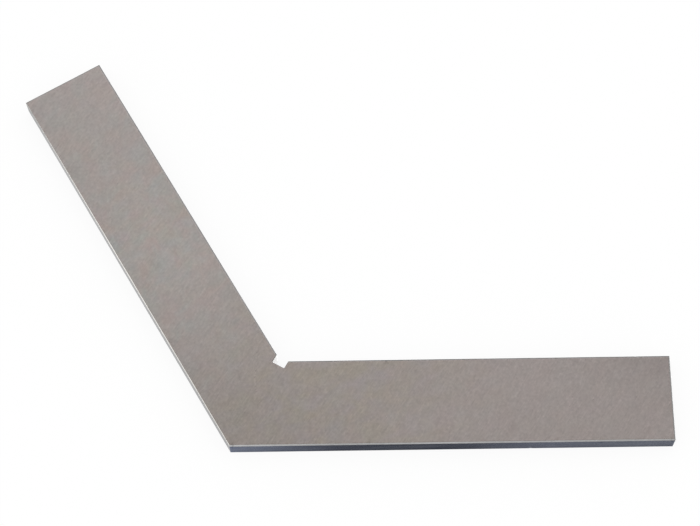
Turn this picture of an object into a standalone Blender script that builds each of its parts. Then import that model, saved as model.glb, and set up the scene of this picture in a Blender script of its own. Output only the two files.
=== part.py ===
"""Flat fixed-angle steel square: two equal arms in one plate, with a relief slot.

The square lies flat.  Frame: metres, +Z up.  The world origin is the outer
vertex of the angle on the plane of the bottom face, +X runs along the outer
edge of the right arm, and the left arm leaves the vertex at ARM_ANGLE from +X.
The inside of the angle is on the +Y side.
"""

import math

import bmesh
import bpy
from mathutils import Vector

# ---------------------------------------------------------------- dimensions
ARM_ANGLE = math.radians(120.0)  # angle between the arms
ARM_LENGTH = 0.100               # outer vertex to arm end, along the outer edge
ARM_WIDTH = 0.020                # outer edge to inner edge
THICKNESS = 0.005                # bottom face to top face

EDGE_CHAMFER = 0.0003            # 45 degree chamfer round both broad faces
SLOT_WIDTH = 0.003               # relief slot, centred on the bisector
SLOT_DEPTH = 0.001               # from the sharp inner vertex to the slot floor
SLOT_BREAK = 0.0001              # broken arrises of the relief slot

CUTTER_LENGTH = 0.012            # from the slot floor to well past the inner vertex
FLARE_REACH = 0.0006             # flare cutter's extent above and below a broad face

MERGE_DISTANCE = 1e-6            # vertices closer than this are joined
LEVEL_TOLERANCE = 1e-6           # height difference within a level edge
FLAT_ANGLE = math.radians(0.5)   # faces closer in angle than this are joined


# ---------------------------------------------------------------- directions
def unit(angle):
    """Unit vector in the plane of the plate."""
    return Vector((math.cos(angle), math.sin(angle)))


RIGHT = unit(0.0)                              # along the right arm
LEFT = unit(ARM_ANGLE)                         # along the left arm
BISECTOR = unit(ARM_ANGLE / 2.0)               # from outer vertex to inner vertex
RIGHT_INWARD = unit(math.pi / 2.0)             # outer edge to inner edge
LEFT_INWARD = unit(ARM_ANGLE - math.pi / 2.0)

# distances from the outer vertex, along the bisector
INNER_VERTEX_DISTANCE = ARM_WIDTH / math.sin(ARM_ANGLE / 2.0)
SLOT_FLOOR_DISTANCE = INNER_VERTEX_DISTANCE - SLOT_DEPTH


# ---------------------------------------------------------------- scene
def clear_scene():
    for old in list(bpy.data.objects):
        bpy.data.objects.remove(old, do_unlink=True)


def new_collection(name):
    collection = bpy.data.collections.new(name)
    bpy.context.scene.collection.children.link(collection)
    return collection


# ---------------------------------------------------------------- plate
def plate_corners():
    """Corners of the plate, counter-clockwise from the outer vertex."""
    right_end = RIGHT * ARM_LENGTH
    left_end = LEFT * ARM_LENGTH
    return [
        Vector((0.0, 0.0)),
        right_end,
        right_end + RIGHT_INWARD * ARM_WIDTH,
        BISECTOR * INNER_VERTEX_DISTANCE,
        left_end + LEFT_INWARD * ARM_WIDTH,
        left_end,
    ]


def extruded_mesh(name, corners, thickness, collection):
    """Mesh of a filled outline, extruded equally above and below z = 0."""
    curve = bpy.data.curves.new("plate_outline", "CURVE")
    curve.dimensions = "2D"
    curve.fill_mode = "BOTH"
    curve.extrude = thickness / 2.0
    spline = curve.splines.new("POLY")
    spline.points.add(len(corners) - 1)
    for point, corner in zip(spline.points, corners):
        point.co = (corner.x, corner.y, 0.0, 1.0)
    spline.use_cyclic_u = True

    # the curve must be in the scene to be evaluated as a mesh
    outline = bpy.data.objects.new("plate_outline", curve)
    collection.objects.link(outline)
    bpy.context.view_layer.update()
    evaluated = outline.evaluated_get(bpy.context.evaluated_depsgraph_get())
    mesh = bpy.data.meshes.new_from_object(evaluated)
    mesh.name = name
    bpy.data.objects.remove(outline, do_unlink=True)
    return mesh


def close_and_simplify(mesh):
    """Join the caps to the sides and reduce each flat side to one face."""
    bm = bmesh.new()
    bm.from_mesh(mesh)
    bmesh.ops.remove_doubles(bm, verts=bm.verts, dist=MERGE_DISTANCE)
    bmesh.ops.dissolve_limit(bm, angle_limit=FLAT_ANGLE, verts=bm.verts, edges=bm.edges)
    bmesh.ops.recalc_face_normals(bm, faces=bm.faces)
    bm.to_mesh(mesh)
    bm.free()


def make_plate(collection):
    """The uncut plate, with its origin at mid-thickness."""
    mesh = extruded_mesh("square_plate", plate_corners(), THICKNESS, collection)
    close_and_simplify(mesh)
    plate = bpy.data.objects.new("square_plate", mesh)
    plate.location = (0.0, 0.0, THICKNESS / 2.0)
    collection.objects.link(plate)
    return plate


# ---------------------------------------------------------------- edge chamfers
def chamfer_broad_faces(plate):
    """Chamfer the arrises of both broad faces; the upright corners stay sharp."""
    bm = bmesh.new()
    bm.from_mesh(plate.data)
    weights = bm.edges.layers.float.new("bevel_weight_edge")
    for edge in bm.edges:
        start, end = edge.verts
        is_level = abs(start.co.z - end.co.z) < LEVEL_TOLERANCE
        edge[weights] = 1.0 if is_level else 0.0
    bm.to_mesh(plate.data)
    bm.free()

    chamfer = plate.modifiers.new("edge_chamfer", "BEVEL")
    chamfer.width = EDGE_CHAMFER
    chamfer.segments = 1
    chamfer.limit_method = "WEIGHT"
    chamfer.offset_type = "OFFSET"
    chamfer.use_clamp_overlap = False
    chamfer.loop_slide = False


# ---------------------------------------------------------------- relief slot
def slot_cutter(name, collection, low, high, grow_low=0.0, grow_high=0.0):
    """A cutter over the slot's plan, from height low to height high.

    Its plan grows outwards by grow_low at the bottom and grow_high at the top,
    so unequal amounts slope the sides.
    """
    bm = bmesh.new()
    bmesh.ops.create_cube(bm, size=1.0)
    for vert in bm.verts:
        is_top = vert.co.z > 0.0
        grow = grow_high if is_top else grow_low
        length = CUTTER_LENGTH + grow * 2.0
        width = SLOT_WIDTH + grow * 2.0
        vert.co = Vector((
            vert.co.x * length + CUTTER_LENGTH / 2.0,
            vert.co.y * width,
            high if is_top else low,
        ))
    bmesh.ops.recalc_face_normals(bm, faces=bm.faces)
    mesh = bpy.data.meshes.new(name)
    bm.to_mesh(mesh)
    bm.free()

    # local +X runs along the bisector, from the slot floor outwards
    cutter = bpy.data.objects.new(name, mesh)
    cutter.location = (
        BISECTOR.x * SLOT_FLOOR_DISTANCE, BISECTOR.y * SLOT_FLOOR_DISTANCE, 0.0
    )
    cutter.rotation_euler = (0.0, 0.0, ARM_ANGLE / 2.0)
    cutter.hide_render = True
    cutter.display_type = "WIRE"
    collection.objects.link(cutter)
    return cutter


def cut_away(solid, cutter):
    cut = solid.modifiers.new(cutter.name, "BOOLEAN")
    cut.operation = "DIFFERENCE"
    cut.solver = "EXACT"
    cut.object = cutter


def cut_relief_slot(plate, collection):
    """Cut the slot, open to the inside of the angle, and break its arrises."""
    # the slot itself, through the whole thickness
    cut_away(plate, slot_cutter("relief_slot", collection, -THICKNESS, THICKNESS * 2.0))

    # 45 degree flares that meet each broad face SLOT_BREAK outside the slot's walls
    wide = SLOT_BREAK + FLARE_REACH
    narrow = SLOT_BREAK - FLARE_REACH
    flares = (
        # name, height of the broad face, growth at low end, growth at high end
        ("slot_break_top", THICKNESS, narrow, wide),
        ("slot_break_bottom", 0.0, wide, narrow),
    )
    for name, face_z, grow_low, grow_high in flares:
        cut_away(plate, slot_cutter(
            name, collection, face_z - FLARE_REACH, face_z + FLARE_REACH,
            grow_low, grow_high,
        ))


# ---------------------------------------------------------------- material
def ground_steel():
    steel = bpy.data.materials.new("ground_steel")
    steel.use_nodes = True
    shader = steel.node_tree.nodes["Principled BSDF"]
    shader.inputs["Base Color"].default_value = (0.56, 0.54, 0.51, 1.0)
    shader.inputs["Metallic"].default_value = 1.0
    shader.inputs["Roughness"].default_value = 0.38
    return steel


# ---------------------------------------------------------------- build
clear_scene()
parts = new_collection("flat_angle_square")
cutters = new_collection("cutters")

square = make_plate(parts)
chamfer_broad_faces(square)
cut_relief_slot(square, cutters)
square.data.materials.append(ground_steel())
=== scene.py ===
"""A ground steel square plate: two equal arms at an obtuse angle, with a relief
slot in the inner corner, on a pale floor.

The plate lies flat on z = 0.  Its outer vertex is at the origin, the right arm
runs along +X and the left arm runs up and away to -X, +Y.  The geometry is
worked out in millimetres and turned into metres when the mesh is made.
"""
import math

import bmesh
import bpy
import numpy as np
from mathutils import Matrix, Vector
from mathutils.geometry import delaunay_2d_cdt


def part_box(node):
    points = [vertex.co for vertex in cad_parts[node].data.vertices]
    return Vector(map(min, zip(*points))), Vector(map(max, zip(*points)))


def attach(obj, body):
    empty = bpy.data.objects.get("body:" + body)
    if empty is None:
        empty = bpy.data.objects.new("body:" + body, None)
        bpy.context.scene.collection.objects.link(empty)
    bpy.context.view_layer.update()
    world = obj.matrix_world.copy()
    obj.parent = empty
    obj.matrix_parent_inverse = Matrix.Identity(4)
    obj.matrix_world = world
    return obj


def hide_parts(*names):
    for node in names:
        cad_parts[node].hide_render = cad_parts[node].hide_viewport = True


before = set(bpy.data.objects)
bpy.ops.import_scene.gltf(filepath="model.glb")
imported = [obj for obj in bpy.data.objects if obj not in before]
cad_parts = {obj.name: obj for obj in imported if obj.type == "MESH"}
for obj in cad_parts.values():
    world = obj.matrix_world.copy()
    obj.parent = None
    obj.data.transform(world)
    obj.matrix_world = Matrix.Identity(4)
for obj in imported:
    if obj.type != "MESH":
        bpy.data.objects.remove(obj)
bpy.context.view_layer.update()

MM = 0.001

# --------------------------------------------------------------------------
# Driving sizes, in millimetres, read back from the CAD plate's box.
# The box of two equal arms at an angle A is L + L*cos(180-A) long and
# L*sin(A) + W*sin(A-90) deep, which gives all of them.
# --------------------------------------------------------------------------
box_low, box_high = (np.array(corner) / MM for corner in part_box("square_plate"))
LENGTH = box_high[0]
ANGLE = math.acos(box_low[0] / LENGTH)
THICK = box_high[2] - box_low[2]
WIDTH = (box_high[1] - LENGTH * math.sin(ANGLE)) / math.sin(ANGLE - math.pi / 2)

CHAMFER = 0.30          # the arrises of both broad faces
UNDER_CHAMFER = 0.24    # under the right arm's outer edge, at the vertex
UNDER_LOSS = 0.14       # what it loses by the far end
LEFT_CHAMFER = 0.235    # on top of the left arm's outer edge, at the vertex
LEFT_LOSS = 0.02        # what it loses evenly by the far end
LEFT_END_LOSS = 0.10    # and what it loses besides towards that end
SLOT_CHAMFER = 0.10     # the slot's broken arrises
CHAMFER_WANDER = 0.085  # how far a chamfer's width strays, as a share of it
SLOT_RIGHT = 1.5        # the slot's walls, either side of the bisector
SLOT_LEFT = 1.6
SLOT_DEPTH = 1.11
ROUND = 0.07            # small radius between a chamfer and its neighbours
SLOT_ROUND = 0.03
CORNER = 0.09           # small radius on the upright outer corners
MOUTH = 0.05            # the same on the slot's mouth
FLOOR_FILLET = 0.18     # cutter radius in the slot's floor corners
LEAST_RADIUS = 0.018    # the smallest an inset corner may shrink to


def unit(angle):
    return np.array([math.cos(angle), math.sin(angle)])


def cross(first, second):
    return first[0] * second[1] - first[1] * second[0]


RIGHT, LEFT, BISECTOR = unit(0.0), unit(ANGLE), unit(ANGLE / 2)
ACROSS = np.array([BISECTOR[1], -BISECTOR[0]])     # to the right of the bisector
LEFT_IN = unit(ANGLE - math.pi / 2)                # across the arms, inwards
RIGHT_IN = np.array([0.0, 1.0])

inner_corner = BISECTOR * WIDTH / math.sin(ANGLE / 2)
floor_middle = inner_corner - BISECTOR * SLOT_DEPTH

# Corners counter-clockwise from the outer vertex, each with its radius.
CORNERS = [
    (np.zeros(2), CORNER),
    (RIGHT * LENGTH, CORNER),
    (RIGHT * LENGTH + RIGHT_IN * WIDTH, CORNER),
    (inner_corner + RIGHT * SLOT_RIGHT / math.sin(ANGLE / 2), MOUTH),
    (floor_middle + ACROSS * SLOT_RIGHT, FLOOR_FILLET),
    (floor_middle - ACROSS * SLOT_LEFT, FLOOR_FILLET),
    (inner_corner + LEFT * SLOT_LEFT / math.sin(ANGLE / 2), MOUTH),
    (LEFT * LENGTH + LEFT_IN * WIDTH, CORNER),
    (LEFT * LENGTH, CORNER),
]
COUNT = len(CORNERS)
POINTS = np.array([point for point, _ in CORNERS])
RADII = [radius for _, radius in CORNERS]

# Each side starts at the corner of its number: 0 to 2 are the right arm's
# outer edge, end and inner edge, 3 to 5 the slot, 6 to 8 the left arm's inner
# edge, end and outer edge.
RIGHT_OUTER, LEFT_OUTER = 0, COUNT - 1
sides = np.roll(POINTS, -1, axis=0) - POINTS
SIDE_LENGTH = np.linalg.norm(sides, axis=1)
DIRECTIONS = sides / SIDE_LENGTH[:, None]
INWARD = np.stack([-DIRECTIONS[:, 1], DIRECTIONS[:, 0]], axis=1)
START = np.concatenate([[0.0], np.cumsum(SIDE_LENGTH)])

# How far a side's first and last stations are from its ends.
MARGIN, MOUTH_MARGIN, FLOOR_MARGIN = 0.62, 0.55, 0.32
SLOT_SIDES = {
    3: (MOUTH_MARGIN, FLOOR_MARGIN),
    4: (FLOOR_MARGIN, FLOOR_MARGIN),
    5: (FLOOR_MARGIN, MOUTH_MARGIN),
}
STEP, SLOT_STEP = 0.9, 0.2      # station spacing
END_STEP = 0.2                  # from the end stations to an extra one inside
LEAST_STEP = 0.028              # stations closer than this are dropped

# Small dents in the arrises: side, distance along it, radius, depth, and
# 1 for the top face or -1 for the bottom.
NICKS = [
    (0, 0.66, 0.36, 0.060, 1), (0, 99.28, 0.40, 0.070, 1),
    (2, 64.52, 0.46, 0.030, 1), (2, 22.30, 0.50, 0.060, -1),
    (0, 31.20, 0.55, 0.040, 1), (0, 67.90, 0.62, 0.050, -1),
    (0, 83.40, 0.46, 0.035, 1), (1, 6.80, 0.55, 0.050, 1),
    (1, 17.60, 0.52, 0.060, -1), (2, 7.70, 0.48, 0.045, 1),
    (6, 18.30, 0.56, 0.050, 1), (6, 57.10, 0.64, 0.060, -1),
    (6, 80.20, 0.60, 0.060, 1), (7, 4.60, 0.56, 0.055, 1),
    (7, 13.30, 0.50, 0.050, -1), (8, 3.10, 0.55, 0.070, 1),
    (8, 9.40, 0.50, 0.060, 1), (8, 21.70, 0.60, 0.050, 1),
    (8, 44.30, 0.48, 0.040, -1), (8, 71.60, 0.55, 0.045, 1),
]
NICK_REACH = 0.42       # how far a dent reaches square to the arris

# The waves that make up a chamfer's wandering: period, gain.
WAVES = ((31.0, 0.34), (13.7, 0.27), (7.3, 0.22), (3.9, 0.17))


# --------------------------------------------------------------------------
# Rows round the plate, from just inside the top face down to the bottom one
# --------------------------------------------------------------------------
def wander(distance, seed):
    """A slow smooth variation along the perimeter, between about -1 and 1."""
    return sum(
        gain * math.sin(2 * math.pi * distance / period + 1.7 * i + seed * (2.3 + 0.9 * i))
        for i, (period, gain) in enumerate(WAVES)
    )


def stations(side):
    """Distances along a side, denser beside its corners and at its dents."""
    start_margin, end_margin = SLOT_SIDES.get(side, (MARGIN, MARGIN))
    first, last = start_margin, SIDE_LENGTH[side] - end_margin
    marks = {first, last}
    if side not in SLOT_SIDES:
        marks.update((first + END_STEP, last - END_STEP))
    step = SLOT_STEP if side in SLOT_SIDES else STEP
    steps = max(2, round((last - first) / step))
    marks.update(first + (last - first) * i / steps for i in range(steps + 1))
    for nick_side, at, radius, _, _ in NICKS:
        if nick_side == side:
            marks.update(at + radius * j / 8 for j in range(-9, 10))
    marks = sorted(mark for mark in marks if first <= mark <= last)
    kept = [marks[0]]
    for mark in marks[1:]:
        if mark - kept[-1] > LEAST_STEP and last - mark > LEAST_STEP:
            kept.append(mark)
    return kept + [last]


ARC = 5                 # segments in each corner
ARC_SPAN = 0.2          # the length of perimeter given to each corner
SIDE_STATIONS = [stations(side) for side in range(COUNT)]


def profile(chamfer, radius):
    """(inset, depth) from just inside a broad face to just down the wall."""
    end = chamfer + radius * math.tan(math.pi / 8)
    rows = [(end + 0.12, 0.0), (end, 0.0)]
    for degrees in (15, 30, 45):
        angle = math.radians(degrees)
        rows.append((end - radius * math.sin(angle), radius * (1 - math.cos(angle))))
    mirrored = [(depth, inset) for inset, depth in reversed(rows)]
    return rows + [(chamfer / 2, chamfer / 2)] + mirrored


HALF_ROWS = len(profile(CHAMFER, ROUND))
CHAMFER_END = HALF_ROWS - 2             # the row where the wall begins
WALL_ROWS = (0.36, 0.5, 0.64)           # shares of the thickness, downwards
ROWS = 2 * HALF_ROWS + len(WALL_ROWS)


def chamfer_width(side, at, upper):
    """The chamfer's width on a side, this far along it.  It is stoned by hand,
    so it wanders a little, and it runs out thin along the left arm's outer
    edge and under the right arm's."""
    if side in SLOT_SIDES:
        return SLOT_CHAMFER
    width = CHAMFER
    if not upper and side == RIGHT_OUTER:
        width = UNDER_CHAMFER - UNDER_LOSS * at / SIDE_LENGTH[side]
    if upper and side == LEFT_OUTER:
        share = 1 - at / SIDE_LENGTH[side]
        end_share = max(0.0, (share - 0.6) / 0.4)
        width = LEFT_CHAMFER - LEFT_LOSS * share - LEFT_END_LOSS * end_share ** 1.5
    # the wandering dies away over the last 1.5 mm before a corner
    steady = min(1.0, min(at, SIDE_LENGTH[side] - at) / 1.5)
    seed = 1.0 if upper else 4.0
    return width * (1 + CHAMFER_WANDER * steady * wander(START[side] + at, seed))


def row_place(row, side, at):
    """(inset, height) of a row on a side, this far along it."""
    if HALF_ROWS <= row < HALF_ROWS + len(WALL_ROWS):
        return 0.0, THICK * (1 - WALL_ROWS[row - HALF_ROWS])
    upper = row < HALF_ROWS
    radius = SLOT_ROUND if side in SLOT_SIDES else ROUND
    rows = profile(chamfer_width(side, at, upper), radius)
    inset, depth = rows[row if upper else ROWS - 1 - row]
    return inset, THICK - depth if upper else depth


def meet(start, way, other_start, other_way):
    """Where the line through start along way meets the other line."""
    return start + way * cross(other_start - start, other_way) / cross(way, other_way)


def corner_arc(row, side):
    """The points of a row round the corner at the start of a side."""
    before = (side - 1) % COUNT
    inset_in, height_in = row_place(row, before, SIDE_LENGTH[before])
    inset_out, height_out = row_place(row, side, 0.0)
    way_in, way_out = DIRECTIONS[before], DIRECTIONS[side]
    tip = meet(POINTS[side] + INWARD[before] * inset_in, way_in,
               POINTS[side] + INWARD[side] * inset_out, way_out)
    turn = math.atan2(cross(way_in, way_out), way_in @ way_out)
    inset = (inset_in + inset_out) / 2
    if turn > 0:
        sign, radius = 1.0, max(RADII[side] - inset, LEAST_RADIUS)
    else:
        sign, radius = -1.0, RADII[side] + inset
    first = tip - way_in * radius * math.tan(abs(turn) / 2)
    centre = first + sign * radius * INWARD[before]
    x, y = first - centre
    arc = []
    for i in range(ARC + 1):
        share = i / ARC
        cosine, sine = math.cos(turn * share), math.sin(turn * share)
        ease = share * share * (3 - 2 * share)
        arc.append((centre[0] + cosine * x - sine * y,
                    centre[1] + sine * x + cosine * y,
                    height_in * (1 - ease) + height_out * ease,
                    START[side] + (share - 0.5) * ARC_SPAN))
    return arc


def ring(row):
    """Every point of one closed row: x, y, z and distance round the plate."""
    points = []
    for side in range(COUNT):
        points += corner_arc(row, side)
        for at in SIDE_STATIONS[side]:
            inset, z = row_place(row, side, at)
            x, y = POINTS[side] + DIRECTIONS[side] * at + INWARD[side] * inset
            points.append((x, y, z, START[side] + at))
    return points


rings = np.array([ring(row) for row in range(ROWS)])
per_ring = rings.shape[1]
ring_xyz = rings[:, :, :3]
perimeter = rings[0, :, 3]
side_of = np.repeat(range(COUNT), [ARC + 1 + len(marks) for marks in SIDE_STATIONS])

# --------------------------------------------------------------------------
# The broad faces: the innermost row, filled with an even net of points.
# --------------------------------------------------------------------------
NET_PITCH = 1.7
NET_BORDER = 1.2        # from the arms' edges and ends to the net
NET_CLEARANCE = 1.0     # the least distance from the outline to the net


def inside_distance(point):
    """Signed distance from a point to the outline, positive inside the plate."""
    nearest, inside = 1e9, False
    x, y = point
    for i in range(COUNT):
        start, end = POINTS[i], POINTS[(i + 1) % COUNT]
        edge, gap = end - start, point - start
        share = min(1.0, max(0.0, (gap @ edge) / (edge @ edge)))
        nearest = min(nearest, float(np.linalg.norm(gap - edge * share)))
        if (start[1] > y) != (end[1] > y):
            if x < edge[0] * (y - start[1]) / edge[1] + start[0]:
                inside = not inside
    return nearest if inside else -nearest


def net():
    """Points along each arm at an even pitch, mirrored at the bisector."""
    found = []
    depth = WIDTH - 2 * NET_BORDER
    rows = round(depth / NET_PITCH)
    for i in range(rows + 1):
        y = NET_BORDER + depth * i / rows
        start = y / math.tan(ANGLE / 2)
        stagger = 0.5 if i % 2 else 0.0
        n = 0
        while True:
            x = start + NET_PITCH * (n + stagger) + 0.01
            if x > LENGTH - NET_BORDER:
                break
            point = RIGHT * x + RIGHT_IN * y
            if inside_distance(point) > NET_CLEARANCE:
                found.append(point)
                if x - start > 0.6:
                    found.append(2 * (point @ BISECTOR) * BISECTOR - point)
            n += 1
    return found


net_points = net()


def fill(row, upwards):
    """Triangles over a broad face, numbering the row first and then the net."""
    verts = [Vector(point) for point in (*ring_xyz[row, :, :2], *net_points)]
    edges = [(i, (i + 1) % per_ring) for i in range(per_ring)]
    _, _, found, originals, _, _ = delaunay_2d_cdt(verts, edges, [], 1, 1e-5)
    source = [min(sources) if sources else -1 for sources in originals]
    if -1 in source:
        raise RuntimeError("the face net crossed itself")
    triangles = []
    for face in found:
        ids = [source[i] for i in face]
        first, second, third = (np.array(verts[i]) for i in ids[:3])
        if (cross(second - first, third - first) > 0) != upwards:
            ids.reverse()
        triangles.append(ids)
    return triangles


# --------------------------------------------------------------------------
# One closed mesh
# --------------------------------------------------------------------------
FACE, EDGE, BRIGHT, SLOT = range(4)     # material slots


def row_zone(row, side):
    """Material of the strip between this row and the next."""
    mirrored = min(row, ROWS - 2 - row)
    if mirrored == 0:
        return FACE
    if side in SLOT_SIDES:
        return SLOT
    return BRIGHT if mirrored < CHAMFER_END else EDGE


coords = ring_xyz.reshape(-1, 3).tolist()
faces, zones, lays = [], [], []

# distance down the profile, for a coordinate that runs across the strips
middle_column = ring_xyz[:, per_ring // 2, :]
down = np.concatenate(
    [[0.0], np.cumsum(np.linalg.norm(np.diff(middle_column, axis=0), axis=1))])
for row in range(ROWS - 1):
    for i in range(per_ring):
        j = (i + 1) % per_ring
        faces.append((row * per_ring + i, (row + 1) * per_ring + i,
                      (row + 1) * per_ring + j, row * per_ring + j))
        zones.append(row_zone(row, side_of[i]))
        begin = perimeter[i]
        end = perimeter[j] if j else START[-1] - ARC_SPAN / 2
        lays.append(((begin, down[row]), (begin, down[row + 1]),
                     (end, down[row + 1]), (end, down[row])))
for row, height in ((0, THICK), (ROWS - 1, 0.0)):
    ring_base, net_base = row * per_ring, len(coords) - per_ring
    coords += [(x, y, height) for x, y in net_points]
    for ids in fill(row, upwards=row == 0):
        faces.append([i + (ring_base if i < per_ring else net_base) for i in ids])
        zones.append(FACE)
        lays.append([(0.0, 0.0)] * 3)
coords = np.array(coords)


def dent(side, at, radius, depth, face):
    """Press the arris in, square to the chamfer, within the dent's radius."""
    spot = POINTS[side] + DIRECTIONS[side] * at + INWARD[side] * CHAMFER / 2
    z = THICK - CHAMFER / 2 if face > 0 else CHAMFER / 2
    inward = np.array([*INWARD[side], -face])
    inward /= np.linalg.norm(inward)
    axis = np.array([*DIRECTIONS[side], 0.0])
    gap = coords - np.array([*spot, z])
    along = gap @ axis
    rest = np.linalg.norm(gap - np.outer(along, axis), axis=1)
    share = np.clip(1 - (along / radius) ** 2, 0, 1) ** 2
    share *= np.clip(1 - (rest / NICK_REACH) ** 2, 0, 1) ** 2
    return np.outer(share * depth, inward)


for nick in NICKS:
    coords += dent(*nick)

mesh = bpy.data.meshes.new("ground_square_plate")
mesh.from_pydata((coords * MM).tolist(), [], faces)
mesh.update()
mesh.polygons.foreach_set("material_index", zones)
mesh.polygons.foreach_set("use_smooth", [True] * len(faces))
mesh.uv_layers.new(name="Lay").data.foreach_set(
    "uv", [value * MM for lay in lays for corner in lay for value in corner])

# --------------------------------------------------------------------------
# Attributes that steer the materials
# --------------------------------------------------------------------------
# Painted light on the broad faces: slow drifts of painted shade and highlight over them.
# Columns: middle, reach along and across the direction, direction, strength.
PAINTED_LIGHT_DRIFTS = [
    (LEFT * 46 + LEFT_IN * 11, 19.0, 15.0, LEFT, 0.070),
    (RIGHT * 7 + RIGHT_IN * 4, 19.0, 13.0, RIGHT, -0.062),
    (RIGHT * 97 + RIGHT_IN * 18, 9.0, 8.0, RIGHT, -0.066),
    (RIGHT * 58 + RIGHT_IN * 9, 26.0, 9.0, RIGHT, 0.014),
    (LEFT * 96 + LEFT_IN * 5, 9.0, 8.0, LEFT, -0.020),
    (LEFT * 58 + LEFT_IN * 10, 42.0, 16.0, LEFT, 0.014),
    (RIGHT * 42 + RIGHT_IN * 17.5, 11.0, 4.0, RIGHT, -0.034),
    (RIGHT * 88 + RIGHT_IN * 18, 10.0, 4.5, RIGHT, -0.045),
    (LEFT * 13 + LEFT_IN * 3, 8.0, 4.0, LEFT, -0.034),
]
# The film of oil on the broad faces tints them a little, patchily.  Distance
# along the arms (the left arm negative), then the shift towards red and
# towards straw, and the depth of the patches of each.
FILM = np.array([
    (-100, -0.3, 0.1, 2.4, 1.0), (-85, -0.3, 0.1, 2.8, 1.2),
    (-65, -1.2, 0.2, 4.6, 2.2), (-40, -0.3, -0.2, 3.2, 0.9),
    (-10, 0.3, 1.0, 1.5, 2.0), (8, 0.8, 1.6, 1.0, 3.2),
    (35, 0.7, 0.9, 1.9, 3.4), (57, 1.0, 0.1, 1.2, 1.5),
    (75, 1.2, -1.0, 0.8, 0.5), (100, 1.2, -1.0, 0.8, 0.5),
])
# Painted light on the outer edges, lighter and darker along them: for each side,
# distances along it with the strength at each.  First the walls (painted reflection), then
# just under the top arris and just above the bottom one (painted shade), and the chamfers
# (painted highlight).
WALL_PAINTED_REFLECTION = {
    RIGHT_OUTER: (
        (0, 0.60), (6, 0.48), (12, 0.28), (17, 0.14), (25, -0.08), (39, -0.09),
        (50, -0.18), (56, -0.08), (61, 0.05), (72, 0.12), (83, -0.06),
        (94, -0.12), (100, -0.13)),
    LEFT_OUTER: (
        (0, -0.20), (6, -0.18), (12, -0.07), (17, -0.04), (30, -0.06), (50, -0.06),
        (61, -0.05), (72, -0.10), (83, -0.10), (94, -0.10), (100, -0.11)),
}
ARRIS_PAINTED_SHADE = {
    RIGHT_OUTER: (
        (0, -0.04), (12, -0.12), (20, -0.14), (30, -0.18), (45, -0.24), (55, -0.22),
        (63, -0.06), (72, 0.00), (90, 0.00), (96, 0.08), (100, 0.08)),
}
LOW_PAINTED_SHADE = {
    RIGHT_OUTER: (
        (0, 0.00), (12, -0.06), (25, -0.12), (35, -0.06), (45, -0.04), (55, -0.09),
        (62, -0.05), (75, -0.03), (100, -0.02)),
}
CHAMFER_PAINTED_HIGHLIGHT = {
    RIGHT_OUTER: (
        (0, 0.30), (6, 0.27), (17, 0.08), (28, -0.04), (39, 0.07), (50, 0.14),
        (61, -0.03), (72, 0.00), (83, -0.05), (94, 0.00), (100, 0.00)),
    LEFT_OUTER: (
        (0, -0.20), (8, -0.14), (17, 0.03), (28, 0.10), (39, 0.12), (50, 0.13),
        (61, 0.12), (72, 0.06), (83, -0.02), (94, -0.07), (100, -0.08)),
}
# Darker spots at single dents: side, distance along it, reach, strength.
DENT_DARKENING = [(2, 64.52, 0.27, -0.66), (0, 0.66, 0.30, -0.25), (8, 3.10, 0.35, -0.20)]
DENT_DARKENING_ROWS = ((0, 1, 7, 9), (0.3, 1, 1, 0))      # rows, and its share at each


def edge_distance():
    """How far each point of a broad face is from the nearest edge, in mm."""
    distance = np.zeros(len(coords), np.float32)
    for i, (x, y, z) in enumerate(coords):
        if z > THICK - 1e-4 or z < 1e-4:
            distance[i] = max(0.0, inside_distance(np.array([x, y])))
    return distance


# Painted light: the sum of the painted shade and highlight patches at every point.
def painted_light_drift():
    drift = np.zeros(len(coords), np.float32)
    for middle, along_reach, across_reach, way, strength in PAINTED_LIGHT_DRIFTS:
        gap = coords[:, :2] - middle
        along = gap @ way / along_reach
        across = gap @ np.array([-way[1], way[0]]) / across_reach
        drift += strength * np.exp(-along * along - across * across)
    return drift


def film_values(columns):
    """Two columns of the film table at every point, as x and y of a vector."""
    along_right, along_left = coords[:, :2] @ RIGHT, coords[:, :2] @ LEFT
    run = along_right - along_left
    run = np.where(run > 0, np.minimum(run, along_right + WIDTH / 2),
                   np.maximum(run, -along_left - WIDTH / 2))
    values = np.zeros((len(coords), 3), np.float32)
    for i, column in enumerate(columns):
        values[:, i] = np.interp(run, FILM[:, 0], FILM[:, column])
    return values


def tone(table, side, at):
    return float(np.interp(at, *zip(*table[side]))) if side in table else 0.0


def painted_edge_light_and_dents():
    """Painted light on the narrow edges and chamfers (painted reflection, shade and
    highlight), with darker spots at the dents.
    """
    tones = np.zeros(len(coords), np.float32)
    for row in range(ROWS):
        mirrored = min(row, ROWS - 1 - row)
        table = CHAMFER_PAINTED_HIGHLIGHT if mirrored < CHAMFER_END else WALL_PAINTED_REFLECTION
        for i in range(per_ring):
            side = int(side_of[i])
            at = perimeter[i] - START[side]
            value = tone(table, side, at) if mirrored > 1 else 0.0
            # painted shade just under the top arris
            if CHAMFER_END <= row < HALF_ROWS:
                value += tone(ARRIS_PAINTED_SHADE, side, at)
            # painted shade just above the bottom arris
            if CHAMFER_END < ROWS - row <= HALF_ROWS:
                value += tone(LOW_PAINTED_SHADE, side, at)
            # darker spots at the dents
            for dent_side, spot, reach, strength in DENT_DARKENING:
                if dent_side == side and row < HALF_ROWS:
                    dent_dark = strength * math.exp(-((at - spot) / reach) ** 2)
                    value += dent_dark * np.interp(row, *DENT_DARKENING_ROWS)
            tones[row * per_ring + i] = value
    return tones


def add_attribute(name, kind, key, values):
    attribute = mesh.attributes.new(name, kind, "POINT")
    attribute.data.foreach_set(key, values.ravel())


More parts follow.
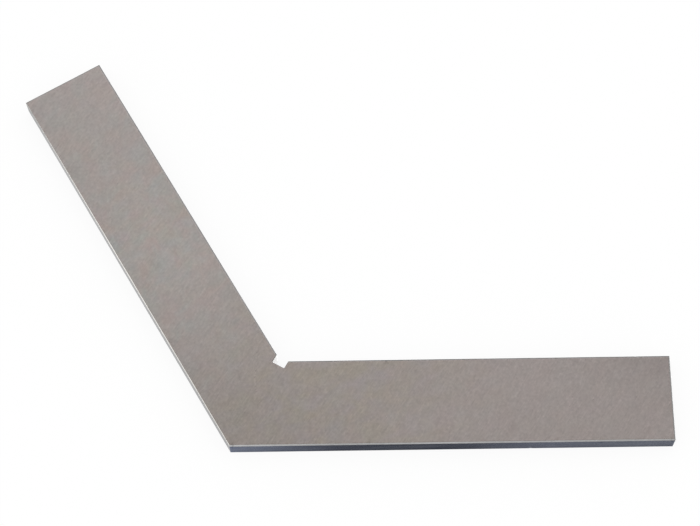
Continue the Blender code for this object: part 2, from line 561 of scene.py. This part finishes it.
add_attribute("edge_distance", "FLOAT", "value", edge_distance())
add_attribute("painted_light_drift", "FLOAT", "value", painted_light_drift())
add_attribute("film_shift", "FLOAT_VECTOR", "vector", film_values((1, 2)))
add_attribute("film_patches", "FLOAT_VECTOR", "vector", film_values((3, 4)))
add_attribute("painted_edge_light_and_dents", "FLOAT", "value", painted_edge_light_and_dents())

plate = bpy.data.objects.new("ground_square_plate", mesh)
bpy.context.scene.collection.objects.link(plate)


# --------------------------------------------------------------------------
# Materials
# --------------------------------------------------------------------------
class Nodes:
    """Short calls for building the node tree of a material or world.

    Named layers are kept in self.layers, so that weigh and boost can take
    their gains as named arguments."""

    def __init__(self, owner):
        owner.use_nodes = True
        self.owner = owner
        self.tree = owner.node_tree
        self.layers = {}

    def new(self, kind, **settings):
        node = self.tree.nodes.new(kind)
        for key, value in settings.items():
            setattr(node, key, value)
        return node

    def put(self, value, socket):
        if isinstance(value, bpy.types.NodeSocket):
            self.tree.links.new(value, socket)
        else:
            socket.default_value = value

    def noise(self, size, turn=0.0, shift=(0.0, 0.0, 0.0), detail=2.0, rough=0.55,
              distortion=0.0):
        """Noise with features size mm long and wide, turned by turn degrees."""
        along, across = size
        turned = self.new("ShaderNodeMapping", vector_type="POINT")
        self.put(self.space, turned.inputs["Vector"])
        turned.inputs["Rotation"].default_value = (0, 0, -math.radians(turn))
        scaled = self.new("ShaderNodeMapping", vector_type="POINT")
        self.put(turned.outputs[0], scaled.inputs["Vector"])
        scaled.inputs["Scale"].default_value = (1000 / along, 1000 / across, 1000 / across)
        scaled.inputs["Location"].default_value = shift
        node = self.new("ShaderNodeTexNoise", noise_dimensions="3D")
        for key, value in (("Vector", scaled.outputs[0]), ("Scale", 1.0),
                           ("Detail", detail), ("Roughness", rough),
                           ("Distortion", distortion)):
            self.put(value, node.inputs[key])
        return node.outputs["Fac"]

    def layer(self, name, size, spread=None, **settings):
        """Keep a noise under a name, its spread stretched to 0..1 if given."""
        value = self.noise(size, **settings)
        self.layers[name] = self.span(value, over=spread) if spread else value

    def math(self, operation, *values, clamp=False):
        node = self.new("ShaderNodeMath", operation=operation, use_clamp=clamp)
        for i in range(3):
            self.put(values[i] if i < len(values) else 0.0, node.inputs[i])
        return node.outputs[0]

    def plus(self, first, second):
        return self.math("ADD", first, second)

    def minus(self, first, second):
        return self.math("SUBTRACT", first, second)

    def times(self, first, second):
        return self.math("MULTIPLY", first, second)

    def span(self, value, over, to=(0.0, 1.0), smooth=False):
        """The value's range over, mapped to the range to and clamped."""
        node = self.new("ShaderNodeMapRange", clamp=True)
        if smooth:
            node.interpolation_type = "SMOOTHSTEP"
        self.put(value, node.inputs["Value"])
        for key, limit in zip(("From Min", "From Max", "To Min", "To Max"), (*over, *to)):
            self.put(limit, node.inputs[key])
        return node.outputs["Result"]

    def weigh(self, **gains):
        """The sum of gain * (layer - 0.5) over the named layers."""
        total = 0.0
        for name, gain in gains.items():
            centred = self.minus(self.layers[name], 0.5)
            total = self.math("MULTIPLY_ADD", centred, gain, total)
        return total

    def boost(self, total, **gains):
        """The total with gain * layer added for each of the named layers."""
        for name, gain in gains.items():
            total = self.math("MULTIPLY_ADD", self.layers[name], gain, total)
        return total

    def tint(self, colour, factor):
        node = self.new("ShaderNodeVectorMath", operation="SCALE")
        self.put(colour, node.inputs[0])
        self.put(factor, node.inputs["Scale"])
        return node.outputs[0]

    def mix_shader(self, factor, first, second):
        node = self.new("ShaderNodeMixShader")
        for i, value in enumerate((factor, first, second)):
            self.put(value, node.inputs[i])
        return node.outputs[0]

    def attribute(self, name, output="Fac"):
        return self.new("ShaderNodeAttribute", attribute_name=name).outputs[output]

    def separate(self, vector):
        node = self.new("ShaderNodeSeparateXYZ")
        self.put(vector, node.inputs[0])
        return node.outputs

    def steel(self, colour, factor, roughness, height, base_rough, relief):
        """Finish a metal: its colour scaled by 1 + factor, its roughness
        varied about base_rough, and a bump of height times relief metres."""
        bump = self.new("ShaderNodeBump")
        bump.inputs["Strength"].default_value = 1.0
        bump.inputs["Distance"].default_value = relief
        self.put(height, bump.inputs["Height"])
        rough = self.math("ADD", roughness, base_rough, clamp=True)
        shader = self.tree.nodes["Principled BSDF"]
        for key, value in (("Base Color", self.tint(colour, self.plus(factor, 1.0))),
                           ("Metallic", 1.0), ("Roughness", rough),
                           ("Normal", bump.outputs["Normal"])):
            self.put(value, shader.inputs[key])
        return self.owner


def lay_nodes(name):
    """Nodes for a material whose lay follows the perimeter."""
    mat = Nodes(bpy.data.materials.new(name))
    mat.space = mat.new("ShaderNodeUVMap", uv_map="Lay").outputs["UV"]
    return mat


def scratches(mat, lay):
    """Sparse hairline scratches, each a thin crest of a stretched noise."""
    scratch = 0.0
    # turn from the lay, mm between scratches, width of the crest, seed
    for turn, gap, width, seed in ((31.0, 1.9, 0.012, 4), (-74.0, 2.6, 0.007, 11)):
        crest = mat.noise((24.0, gap), turn=lay + turn, shift=(seed, 9, 3), detail=0.0)
        crest = mat.math("ABSOLUTE", mat.minus(crest, 0.5))
        crest = mat.span(crest, over=(0.0, width), to=(1.0, 0.0), smooth=True)
        where = mat.noise((17.0, 13.0), turn=80.0, shift=(6, seed, 6), detail=1.0)
        crest = mat.times(crest, mat.span(where, over=(0.56, 0.66)))
        scratch = mat.math("MAXIMUM", crest, scratch)
    return scratch


def oil_film(mat):
    """The steel's colour under the film, shifted towards red and straw."""
    shift = mat.separate(mat.attribute("film_shift", "Vector"))
    patches = mat.separate(mat.attribute("film_patches", "Vector"))
    stain = mat.noise((5.5, 4.5), turn=70.0, shift=(8, 3, 5), rough=0.5, distortion=0.5)
    straw = mat.noise((6.5, 4.0), turn=15.0, shift=(4, 6, 9), rough=0.5, distortion=0.5)
    red, straw = (
        mat.math("MULTIPLY_ADD", mat.span(patch, over=(0.32, 0.68), to=(-1.0, 1.0)),
                 patches[i], shift[i])
        for i, patch in enumerate((stain, straw)))
    # how much each channel changes per unit of the shifts
    mat.layers.update(red=red, straw=straw)
    green = mat.boost(1.0, red=-0.0055)
    tint = mat.new("ShaderNodeCombineXYZ")
    mat.put(mat.boost(1.0, red=0.0095), tint.inputs[0])
    mat.put(green, tint.inputs[1])
    mat.put(mat.times(green, mat.boost(1.0, straw=-0.015)), tint.inputs[2])
    film = mat.new("ShaderNodeVectorMath", operation="MULTIPLY")
    film.inputs[0].default_value = (0.559, 0.528, 0.504)
    mat.put(tint.outputs[0], film.inputs[1])
    return film.outputs[0]


def ground_face():
    """The two broad faces: one grinding direction, satin, faintly mottled."""
    mat = Nodes(bpy.data.materials.new("ground_steel_face"))
    mat.space = mat.new("ShaderNodeTexCoord").outputs["Object"]
    lay = 57.0      # the grinding direction, in degrees from X
    # three widths of grinding line, the two finer ones crisp
    mat.layer("fine", (2.6, 0.055), spread=(0.32, 0.68), turn=lay, rough=0.65)
    mat.layer("hair", (3.4, 0.130), spread=(0.30, 0.70), turn=lay - 1.5,
              shift=(1, 1, 7), rough=0.6)
    mat.layer("line", (6.0, 0.52), turn=lay + 2.0, shift=(3, 7, 1), rough=0.6)
    # where the wheel bit a little more or less, in short strokes and patches
    mat.layer("dash", (0.80, 0.50), turn=lay - 3.0, shift=(9, 2, 4), detail=1.0, rough=0.5)
    mat.layer("fleck", (0.58, 0.58), turn=lay + 8.0, shift=(5, 5, 2), detail=1.0,
              rough=0.5)
    mat.layer("band", (16.0, 2.2), turn=lay, shift=(5, 1, 8), rough=0.5)
    mat.layer("mottle", (2.3, 1.7), turn=lay, shift=(2, 2, 6), detail=3.0, rough=0.6,
              distortion=0.4)
    mat.layer("cloud", (9.0, 7.0), turn=20.0, shift=(1, 4, 2), detail=3.0, rough=0.5,
              distortion=0.3)
    crisp = mat.boost(0.2, hair=0.8, fine=0.8)
    stroke = mat.times(mat.weigh(dash=0.13, fleck=0.27), crisp)
    # worn in bands beside the edges
    worn = mat.span(mat.attribute("edge_distance"), over=(0.35, 1.3), to=(1.0, 0.0),
                    smooth=True)
    banded = mat.span(mat.layers["band"], over=(0.35, 0.65), to=(0.35, 1.0))
    mat.layers["worn"] = mat.times(worn, banded)
    mat.layers["scratch"] = scratches(mat, lay)

    factor = mat.weigh(fine=0.21, hair=0.085, line=0.045, mottle=0.14, band=0.04,
                       cloud=0.05)
    factor = mat.boost(mat.plus(factor, stroke), scratch=0.07, worn=0.02)
    # painted shade and highlight: the slow lighter and darker patches over the face
    factor = mat.plus(factor, mat.attribute("painted_light_drift"))
    # darker spots at the dents
    factor = mat.plus(factor, mat.attribute("painted_edge_light_and_dents"))
    roughness = mat.weigh(fine=0.09, hair=0.07, line=0.06, dash=0.08, mottle=0.08,
                          cloud=0.06)
    roughness = mat.boost(roughness, worn=-0.06, scratch=-0.06)
    height = mat.weigh(fine=0.68, hair=0.62, line=0.45, dash=0.3, fleck=0.4, mottle=0.3)
    height = mat.boost(height, scratch=-0.5)
    return mat.steel(oil_film(mat), factor, roughness, height,
                     base_rough=0.37, relief=7.0e-6)


def ground_edge():
    """The narrow edges and ends, ground lengthwise and a little smoother."""
    mat = lay_nodes("ground_steel_edge")
    mat.layer("fine", (5.0, 0.05), spread=(0.32, 0.68), shift=(2, 2, 2), rough=0.65)
    mat.layer("hair", (9.0, 0.14), spread=(0.25, 0.75), rough=0.6)
    mat.layer("line", (26.0, 0.50), shift=(3, 7, 1), rough=0.6)
    mat.layer("patch", (14.0, 4.0), shift=(7, 3, 1), detail=3.0)
    mat.layer("chatter", (0.9, 6.0), shift=(1, 8, 2), detail=1.0, rough=0.5)
    colour = mat.new("ShaderNodeMix", data_type="RGBA")
    mat.put(mat.span(mat.layers["patch"], over=(0.35, 0.65)), colour.inputs["Factor"])
    mat.put((0.510, 0.508, 0.512, 1), colour.inputs["A"])
    mat.put((0.560, 0.556, 0.552, 1), colour.inputs["B"])
    factor = mat.weigh(fine=0.10, hair=0.14, line=0.40, patch=0.46, chatter=0.08)
    # painted light: painted reflection along the walls, painted shade under the top arris
    # and over the bottom one, and darker spots at the dents
    factor = mat.plus(factor, mat.attribute("painted_edge_light_and_dents"))
    # painted shade: a little darker towards the underside
    painted_low_shade = mat.span(mat.separate(mat.space)[1], over=(2.4 * MM, 4.8 * MM),
                   to=(0.04, -0.16), smooth=True)
    factor = mat.plus(factor, painted_low_shade)
    roughness = mat.weigh(fine=0.07, hair=0.08, line=0.12, patch=0.12)
    height = mat.weigh(fine=0.25, hair=0.5, line=1.0, chatter=0.12)
    return mat.steel(colour.outputs["Result"], factor, roughness, height,
                     base_rough=0.24, relief=4.0e-6)


def bright_chamfer():
    """The chamfers, stoned by hand: bright, with duller stretches, and a painted highlight
    that brightens and dims along them.
    """
    mat = lay_nodes("stoned_steel_chamfer")
    mat.layer("hair", (2.2, 0.035), spread=(0.30, 0.70), turn=1.5, rough=0.65)
    mat.layer("stone", (0.7, 0.11), turn=-5.0, shift=(6, 3, 2), rough=0.6)
    mat.layer("patch", (3.1, 2.0), shift=(2, 5, 1), detail=3.0, rough=0.6)
    mat.layer("drift", (21.0, 5.0), shift=(8, 1, 1), rough=0.5)
    speck = mat.noise((1.7, 0.9), shift=(4, 4, 9), rough=0.5)
    mat.layers["dull"] = mat.span(speck, over=(0.58, 0.76), smooth=True)
    factor = mat.weigh(hair=0.24, stone=0.22, patch=0.20, drift=0.14)
    # painted highlight that brightens and dims along the chamfers, and darker spots at the
    # dents
    factor = mat.plus(mat.boost(factor, dull=-0.18), mat.attribute("painted_edge_light_and_dents"))
    roughness = mat.boost(mat.weigh(hair=0.10, stone=0.10, patch=0.14), dull=0.12)
    height = mat.weigh(hair=0.8, stone=0.9, patch=0.5)
    return mat.steel((0.655, 0.645, 0.635), factor, roughness, height,
                     base_rough=0.24, relief=3.0e-6)


def milled_slot():
    """The relief slot, cut with a side cutter and left duller."""
    mat = lay_nodes("milled_steel_slot")
    mat.layer("tooth", (0.16, 2.6), turn=12.0, rough=0.6)
    mat.layer("patch", (1.6, 1.1), shift=(2, 5, 1), detail=3.0, rough=0.6)
    mat.layer("grit", (0.10, 0.10), shift=(1, 3, 5), rough=0.6)
    factor = mat.weigh(tooth=0.20, patch=0.22, grit=0.10)
    roughness = mat.weigh(tooth=0.14, patch=0.14)
    height = mat.weigh(tooth=1.0, grit=0.4, patch=0.3)
    return mat.steel((0.43, 0.42, 0.41), factor, roughness, height,
                     base_rough=0.44, relief=5.0e-6)


for make_material in (ground_face, ground_edge, bright_chamfer, milled_slot):
    mesh.materials.append(make_material())

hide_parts("square_plate")
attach(plate, "root")

# --------------------------------------------------------------------------
# Floor: pale, plain, and seamless with the backdrop at the horizon
# --------------------------------------------------------------------------
PALE = (1.0, 1.0, 1.0, 1)
FLOOR_GREY = 0.86


def pale_floor():
    paper = Nodes(bpy.data.materials.new("pale_floor"))
    paper.tree.nodes.remove(paper.tree.nodes["Principled BSDF"])
    matt = paper.new("ShaderNodeBsdfDiffuse")
    matt.inputs["Color"].default_value = (FLOOR_GREY, FLOOR_GREY, FLOOR_GREY, 1)
    glow = paper.new("ShaderNodeEmission")
    glow.inputs["Color"].default_value = PALE
    glow_share = 0.90
    blend = paper.mix_shader(glow_share, matt.outputs[0], glow.outputs[0])
    paper.put(blend, paper.tree.nodes["Material Output"].inputs["Surface"])
    return paper.owner


floor_mesh = bpy.data.meshes.new("floor")
bm = bmesh.new()
bmesh.ops.create_circle(bm, cap_ends=True, segments=96, radius=7.5)
bm.to_mesh(floor_mesh)
bm.free()
floor = bpy.data.objects.new("floor", floor_mesh)
floor.location = (0.02, 0.04, -0.00004)     # just clear of the plate
bpy.context.scene.collection.objects.link(floor)
floor_mesh.materials.append(pale_floor())
floor.visible_glossy = False


# --------------------------------------------------------------------------
# Light: an even pale dome for the floor, and a soft studio for the steel.
# The studio is a wide ramp overhead, brighter towards the back, with soft
# panels round it, and a dimmer table below with two pale patches.
# --------------------------------------------------------------------------
def studio_light(sky):
    """The colour of the studio in every direction."""
    white = (1.0, 1.0, 1.0)
    direction = sky.new("ShaderNodeTexCoord").outputs["Generated"]
    x, y, z = sky.separate(direction)

    def panel(half, towards, sharpness, strength, colour=white):
        """A soft round patch of light, falling off from its middle direction."""
        node = sky.new("ShaderNodeVectorMath", operation="DOT_PRODUCT")
        sky.put(direction, node.inputs[0])
        node.inputs[1].default_value = Vector(towards).normalized()
        off = sky.minus(node.outputs["Value"], 1.0)
        fall = sky.math("EXPONENT", sky.times(off, sharpness))
        return sky.tint(colour, sky.times(half, sky.times(fall, strength)))

    above = sky.span(z, over=(-0.10, 0.06), smooth=True)
    below = sky.minus(1.0, above)
    right_fade = sky.span(x, over=(0.30, 0.95), to=(1.0, 0.46), smooth=True)
    dome = sky.times(above, right_fade)
    ramp = sky.span(y, over=(-0.05, 0.62), to=(0.0, 0.67))

    # straight down it is dark and bluish towards the front, with a darker hollow
    # in its middle, and elsewhere it is a plain grey that lifts at the horizon
    steep = sky.span(z, over=(-0.62, -0.84), smooth=True)
    hollow_x, hollow_reach = 0.016, 0.052
    hollow = sky.math("DIVIDE", sky.minus(x, hollow_x), hollow_reach)
    hollow = sky.math("POWER", sky.math("ABSOLUTE", hollow), 4.0)
    hollow = sky.math("EXPONENT", sky.times(hollow, -1.0))
    front = sky.span(y, over=(-0.05, -0.25), to=(0.0, 0.92), smooth=True)
    left_lift = sky.times(sky.span(x, over=(-0.02, -0.10), to=(0.0, 0.06)),
                          sky.span(y, over=(-0.05, -0.25), smooth=True))
    near = sky.span(y, over=(-0.40, 0.16), to=(0.100, 0.30), smooth=True)
    near = sky.times(sky.plus(near, left_lift),
                     sky.minus(1.0, sky.times(hollow, front)))
    blue = sky.times(steep, sky.span(y, over=(-0.30, 0.10), to=(1.0, 0.0), smooth=True))
    rim = sky.minus(sky.span(y, over=(-0.70, 0.20), to=(0.34, 0.30), smooth=True),
                    sky.span(y, over=(0.45, 0.92), to=(0.0, 0.19), smooth=True))
    rim = sky.plus(rim, sky.span(z, over=(-0.30, -0.02), to=(0.0, 0.26), smooth=True))
    table = sky.plus(sky.times(steep, near), sky.times(sky.minus(1.0, steep), rim))

    terms = (
        sky.tint((0.062, 0.0486, 0.0111), sky.times(dome, 1.0)),
        sky.tint((1.08, 1.039, 1.119), sky.times(dome, ramp)),
        panel(above, (-0.966, -0.18, 0.179), sharpness=12.0, strength=1.42),
        panel(above, (0.0, -0.93, 0.37), sharpness=4.0, strength=0.44,
              colour=(0.95, 1.0, 1.12)),
        panel(above, (0.5, -0.62, 0.60), sharpness=4.0, strength=0.26),
        sky.tint(white, sky.times(below, table)),
        sky.tint((-0.14, 0.0, 0.44), sky.times(sky.times(below, blue), table)),
        sky.tint((-0.004, 0.0, 0.016), sky.times(steep, sky.times(hollow, front))),
        panel(below, (-0.36, 0.34, -0.87), sharpness=12.0, strength=0.38),
        panel(below, (0.42, 0.32, -0.85), sharpness=20.0, strength=5.4),
    )
    studio = terms[0]
    for term in terms[1:]:
        node = sky.new("ShaderNodeVectorMath", operation="ADD")
        sky.put(studio, node.inputs[0])
        sky.put(term, node.inputs[1])
        studio = node.outputs[0]
    return studio


def background(sky, colour, strength=1.0):
    node = sky.new("ShaderNodeBackground")
    sky.put(colour, node.inputs["Color"])
    node.inputs["Strength"].default_value = strength
    return node.outputs[0]


world = bpy.data.worlds.new("studio")
bpy.context.scene.world = world
sky = Nodes(world)
sky.tree.nodes.clear()
path = sky.new("ShaderNodeLightPath").outputs
lighting = sky.mix_shader(path["Is Glossy Ray"],
                          background(sky, PALE, strength=PALE[0] / FLOOR_GREY),
                          background(sky, studio_light(sky)))
shown = sky.mix_shader(path["Is Camera Ray"], lighting, background(sky, PALE))
sky.put(shown, sky.new("ShaderNodeOutputWorld").inputs["Surface"])

# --------------------------------------------------------------------------
# Camera: in front of the plate and above it, looking steeply down
# --------------------------------------------------------------------------
camera_data = bpy.data.cameras.new("camera")
camera_data.sensor_width = 36.0
camera_data.sensor_fit = "HORIZONTAL"
camera_data.lens = 102.42
camera = bpy.data.objects.new("camera", camera_data)
bpy.context.scene.collection.objects.link(camera)
forward = Vector((-0.00809, 0.37113, -0.92855)).normalized()
rightward = Vector((0.99986, -0.01062, -0.01296))
rightward = (rightward - forward * rightward.dot(forward)).normalized()
upward = rightward.cross(forward).normalized()
pose = Matrix((rightward, upward, -forward)).transposed().to_4x4()
pose.translation = Vector((31.30, -127.77, 434.29)) * MM
camera.matrix_world = pose
camera_data.clip_start, camera_data.clip_end = 0.01, 20.0
bpy.context.scene.camera = camera

bpy.context.scene.view_settings.view_transform = "Standard"
bpy.context.scene.view_settings.look = "None"
